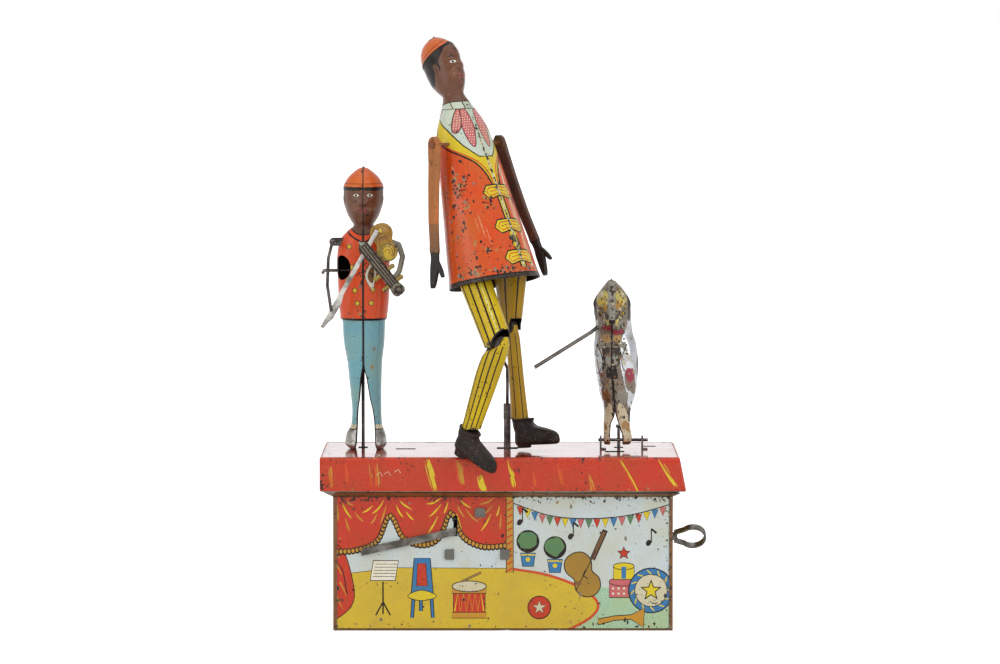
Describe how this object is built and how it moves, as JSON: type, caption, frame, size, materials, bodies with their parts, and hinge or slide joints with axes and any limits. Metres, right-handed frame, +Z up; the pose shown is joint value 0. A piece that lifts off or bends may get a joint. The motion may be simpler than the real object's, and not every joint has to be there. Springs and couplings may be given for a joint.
{
  "type": "tin wind-up dancing toy",
  "caption": "Clockwork tin toy: a loose-limbed dancer, a fiddler and an upright dog on the red roof of a printed tin box with a side winding key.",
  "frame": {"origin": "centre of the box's open bottom, on the surface that it stands on", "axes": "+Z up, -Y out of the front panel, +X to the end with the winding key"},
  "size_m": [0.1503, 0.0806, 0.2283],
  "materials": {
    "litho_panel": "worn glossy printed tinplate",
    "litho_roof": "worn glossy printed tinplate with yellow streaks",
    "motor_steel": "plain stamped steel",
    "spring_steel": "blued spring steel",
    "gear_brass": "stamped brass",
    "bright_steel": "tarnished bright steel",
    "dark_wire": "dark oxidised steel wire",
    "litho_coat": "worn glossy printed tinplate",
    "litho_trousers": "worn striped printed tinplate",
    "litho_fiddler": "glossy printed tinplate",
    "litho_violin": "printed tinplate",
    "litho_dog": "worn printed tinplate"
  },
  "bodies": {
    "case": {"front_panel": "litho_panel", "back_panel": "litho_panel", "left_end_panel": "litho_panel", "right_end_panel": "litho_panel", "roof": "litho_roof", "motor_plate_left": "motor_steel", "motor_plate_right": "motor_steel", "motor_bridge": "motor_steel", "motor_pillars": "motor_steel", "rod_guide": "motor_steel", "mainspring": "spring_steel", "lever_rivet": "motor_steel", "beam_bracket": "motor_steel", "fiddler_left_shell": "litho_fiddler", "fiddler_right_shell": "litho_fiddler", "shoulder_lug": "litho_fiddler", "violin_body": "litho_violin", "violin_neck": "litho_violin", "fiddler_left_arm": "litho_fiddler", "dog_axle": "dark_wire", "dog_brackets": "motor_steel"},
    "winding": {"winding_arbor": "bright_steel", "winding_key": "bright_steel", "ratchet_wheel": "gear_brass"},
    "great_wheel": {"great_wheel": "gear_brass", "click": "bright_steel"},
    "second_wheel": {"second_arbor": "bright_steel", "second_pinion": "gear_brass", "second_wheel": "gear_brass"},
    "crank": {"crank_arbor": "bright_steel", "crank_pinion": "gear_brass", "crank_disc": "bright_steel", "brake_disc": "bright_steel"},
    "stop_lever": {"stop_lever": "bright_steel"},
    "rocker_beam": {"rocker_beam": "dark_wire", "beam_link": "dark_wire"},
    "dancer": {"dancer_yoke": "dark_wire", "dancer_rod": "dark_wire", "dancer_near_shell": "litho_coat", "dancer_far_shell": "litho_coat", "hip_pin": "motor_steel", "shoulder_pins": "motor_steel"},
    "near_arm": {"near_arm": "litho_coat"},
    "far_arm": {"far_arm": "litho_coat"},
    "near_thigh": {"near_thigh": "litho_trousers", "knee_pins_near": "motor_steel"},
    "far_thigh": {"far_thigh": "litho_trousers", "knee_pins_far": "motor_steel"},
    "near_lower_leg": {"near_lower_leg": "litho_trousers"},
    "far_lower_leg": {"far_lower_leg": "litho_trousers"},
    "fiddler_push": {"fiddler_push_wire": "dark_wire", "bow_hook": "dark_wire"},
    "bow_arm": {"bow_arm": "dark_wire", "bow": "bright_steel"},
    "dog": {"dog_left_shell": "litho_dog", "dog_right_shell": "litho_dog", "dog_lug": "dark_wire", "cane": "bright_steel"},
    "dog_push": {"dog_push_wire": "dark_wire"}
  },
  "joints": [
    {"name": "key_wind", "type": "hinge", "parent": "case", "child": "winding", "pos_m": [0, 0, 0.0335], "axis": [1, 0, 0], "continuous": true},
    {"name": "great_wheel_turn", "type": "hinge", "parent": "case", "child": "great_wheel", "pos_m": [0, 0, 0.0335], "axis": [1, 0, 0], "continuous": true},
    {"name": "second_wheel_turn", "type": "hinge", "parent": "case", "child": "second_wheel", "pos_m": [0, -0.00531, 0.02001], "axis": [1, 0, 0], "continuous": true},
    {"name": "crank_turn", "type": "hinge", "parent": "case", "child": "crank", "pos_m": [0, 0.006, 0.016], "axis": [1, 0, 0], "continuous": true},
    {"name": "stop_lever_swing", "type": "hinge", "parent": "case", "child": "stop_lever", "pos_m": [-0.0186, -0.012, 0.0386], "axis": [1, 0, 0], "range_deg": [-4, 0]},
    {"name": "rocker_rock", "type": "hinge", "parent": "case", "child": "rocker_beam", "pos_m": [-0.0047, 0.0094, 0.057], "axis": [0, 1, 0], "range_deg": [-1.2, 1.2]},
    {"name": "dancer_bob", "type": "slide", "parent": "case", "child": "dancer", "axis": [0, 0, 1], "range_m": [0, 0.006]},
    {"name": "near_arm_swing", "type": "hinge", "parent": "dancer", "child": "near_arm", "pos_m": [-0.02635, -0.02369, 0.187], "axis": [-0.7071, -0.7071, 0], "range_deg": [-10, 45]},
    {"name": "far_arm_swing", "type": "hinge", "parent": "dancer", "child": "far_arm", "pos_m": [0.00109, 0.00375, 0.187], "axis": [-0.7071, -0.7071, 0], "range_deg": [-30, 30]},
    {"name": "near_hip", "type": "hinge", "parent": "dancer", "child": "near_thigh", "pos_m": [-0.01171, -0.02531, 0.137], "axis": [-0.7071, -0.7071, 0], "range_deg": [0, 16]},
    {"name": "near_knee", "type": "hinge", "parent": "near_thigh", "child": "near_lower_leg", "pos_m": [-0.00203, -0.04108, 0.1119], "axis": [-0.7071, -0.7071, 0], "range_deg": [0, 20]},
    {"name": "far_hip", "type": "hinge", "parent": "dancer", "child": "far_thigh", "pos_m": [0.00271, -0.01089, 0.137], "axis": [-0.7071, -0.7071, 0], "range_deg": [0, 30]},
    {"name": "far_knee", "type": "hinge", "parent": "far_thigh", "child": "far_lower_leg", "pos_m": [0.00349, -0.00714, 0.1162], "axis": [-0.7071, -0.7071, 0], "range_deg": [0, 22]},
    {"name": "fiddler_push_slide", "type": "slide", "parent": "case", "child": "fiddler_push", "axis": [0, 0, 1], "range_m": [-0.0011, 0.0011]},
    {"name": "bow_swing", "type": "hinge", "parent": "case", "child": "bow_arm", "pos_m": [-0.0661, 0.0094, 0.1485], "axis": [0, 1, 0], "range_deg": [-8, 8]},
    {"name": "dog_rock", "type": "hinge", "parent": "case", "child": "dog", "pos_m": [0.0422, 0.001, 0.0712], "axis": [1, 0, 0], "range_deg": [-7.3, 7.3]},
    {"name": "dog_push_slide", "type": "slide", "parent": "case", "child": "dog_push", "axis": [0, 0, 1], "range_m": [-0.0011, 0.0011]}
  ],
  "couplings": [
    {"joint": "second_wheel_turn", "follows": "great_wheel_turn", "ratio": -4.8},
    {"joint": "crank_turn", "follows": "great_wheel_turn", "ratio": 24},
    {"joint": "fiddler_push_slide", "follows": "rocker_rock", "m_per_rad": 0.0501},
    {"joint": "bow_swing", "follows": "rocker_rock", "ratio": 6.5},
    {"joint": "dog_push_slide", "follows": "rocker_rock", "m_per_rad": -0.0501},
    {"joint": "dog_rock", "follows": "rocker_rock", "ratio": -5.9643}
  ]
}
